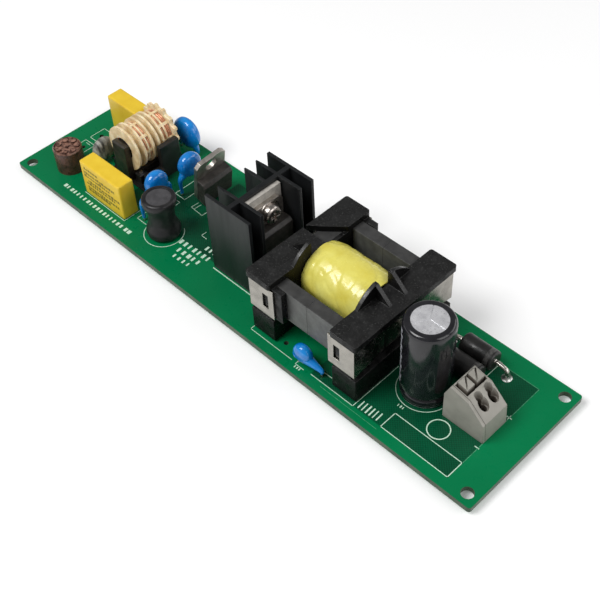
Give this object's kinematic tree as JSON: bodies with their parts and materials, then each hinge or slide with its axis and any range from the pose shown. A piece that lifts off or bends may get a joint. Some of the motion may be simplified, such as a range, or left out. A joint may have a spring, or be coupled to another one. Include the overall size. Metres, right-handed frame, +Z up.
{
  "type": "ac-dc converter board",
  "caption": "Long open circuit board that turns mains alternating current into low voltage direct current, with choke, heat sink, transformer and push-button output terminal",
  "frame": {"origin": "centre of the four mounting holes, on the underside of the board", "axes": "X along the board from the mains end to the output terminal, Y across it, Z up through the component side"},
  "size_m": [0.17, 0.042, 0.0288],
  "materials": {
    "board": "green solder mask over glass laminate",
    "solder": "tinned",
    "tinned_wire": "tinned copper",
    "fuse_plastic": "dark brown phenolic",
    "capacitor_yellow": "yellow box",
    "ceramic_blue": "blue epoxy coat",
    "thermistor_coat": "dark coat",
    "bobbin_cream": "cream moulding",
    "copper": "enamelled copper",
    "ferrite": "ground ferrite",
    "black_plastic": "black moulding",
    "shrink_sleeve": "heat-shrink sleeve",
    "tab_metal": "plated tab",
    "sink_black": "black anodised",
    "screw_steel": "nickel plated",
    "clip_steel": "spring steel",
    "tape_yellow": "polyester tape",
    "can_aluminium": "drawn can",
    "rubber_bung": "sealing rubber",
    "terminal_grey": "light grey"
  },
  "bodies": {
    "board": {"circuit_board": "board", "solder_joints": "solder", "fuse_base": "fuse_plastic", "fuse_cap": "fuse_plastic", "fuse_element": "tinned_wire", "x2_capacitor_front": "capacitor_yellow", "x2_capacitor_rear": "capacitor_yellow", "x2_capacitor_leads": "tinned_wire", "thermistor": "thermistor_coat", "thermistor_leads": "tinned_wire", "choke_core": "ferrite", "choke_bobbin": "bobbin_cream", "choke_winding_front": "copper", "choke_winding_rear": "copper", "choke_base": "black_plastic", "choke_pins": "tinned_wire", "disc_capacitor_left": "ceramic_blue", "disc_capacitor_middle": "ceramic_blue", "disc_capacitor_rear": "ceramic_blue", "disc_capacitor_front": "ceramic_blue", "disc_capacitor_leads": "tinned_wire", "drum_core": "ferrite", "drum_winding": "copper", "drum_sleeve": "shrink_sleeve", "drum_leads": "tinned_wire", "free_transistor_tab": "tab_metal", "free_transistor_body": "black_plastic", "free_transistor_leads": "tinned_wire", "mounted_transistor_tab": "tab_metal", "mounted_transistor_body": "black_plastic", "mounted_transistor_leads": "tinned_wire", "heatsink": "sink_black", "heatsink_pins": "tinned_wire", "heatsink_screw": "screw_steel", "screw_washer": "screw_steel", "thermal_pad": "tab_metal", "transformer_core_left": "ferrite", "transformer_core_right": "ferrite", "transformer_bobbin": "black_plastic", "transformer_winding": "copper", "transformer_tape": "tape_yellow", "transformer_pins": "tinned_wire", "core_clip_left": "clip_steel", "core_clip_right": "clip_steel", "electrolytic_can": "can_aluminium", "electrolytic_sleeve": "shrink_sleeve", "electrolytic_bung": "rubber_bung", "electrolytic_leads": "tinned_wire", "diode_rear": "black_plastic", "diode_front": "black_plastic", "diode_leads": "tinned_wire", "terminal_housing": "terminal_grey", "terminal_end_plate": "terminal_grey", "terminal_clamps": "clip_steel", "terminal_pins": "tinned_wire"},
    "push_button_front": {"push_button_front": "terminal_grey"},
    "push_button_rear": {"push_button_rear": "terminal_grey"}
  },
  "joints": [
    {"name": "push_button_front_press", "type": "slide", "parent": "board", "child": "push_button_front", "axis": [0, 0, -1], "range_m": [0, 0.001], "stiffness_N_per_m": 2000, "springref_m": -0.0005},
    {"name": "push_button_rear_press", "type": "slide", "parent": "board", "child": "push_button_rear", "axis": [0, 0, -1], "range_m": [0, 0.001], "stiffness_N_per_m": 2000, "springref_m": -0.0005}
  ]
}
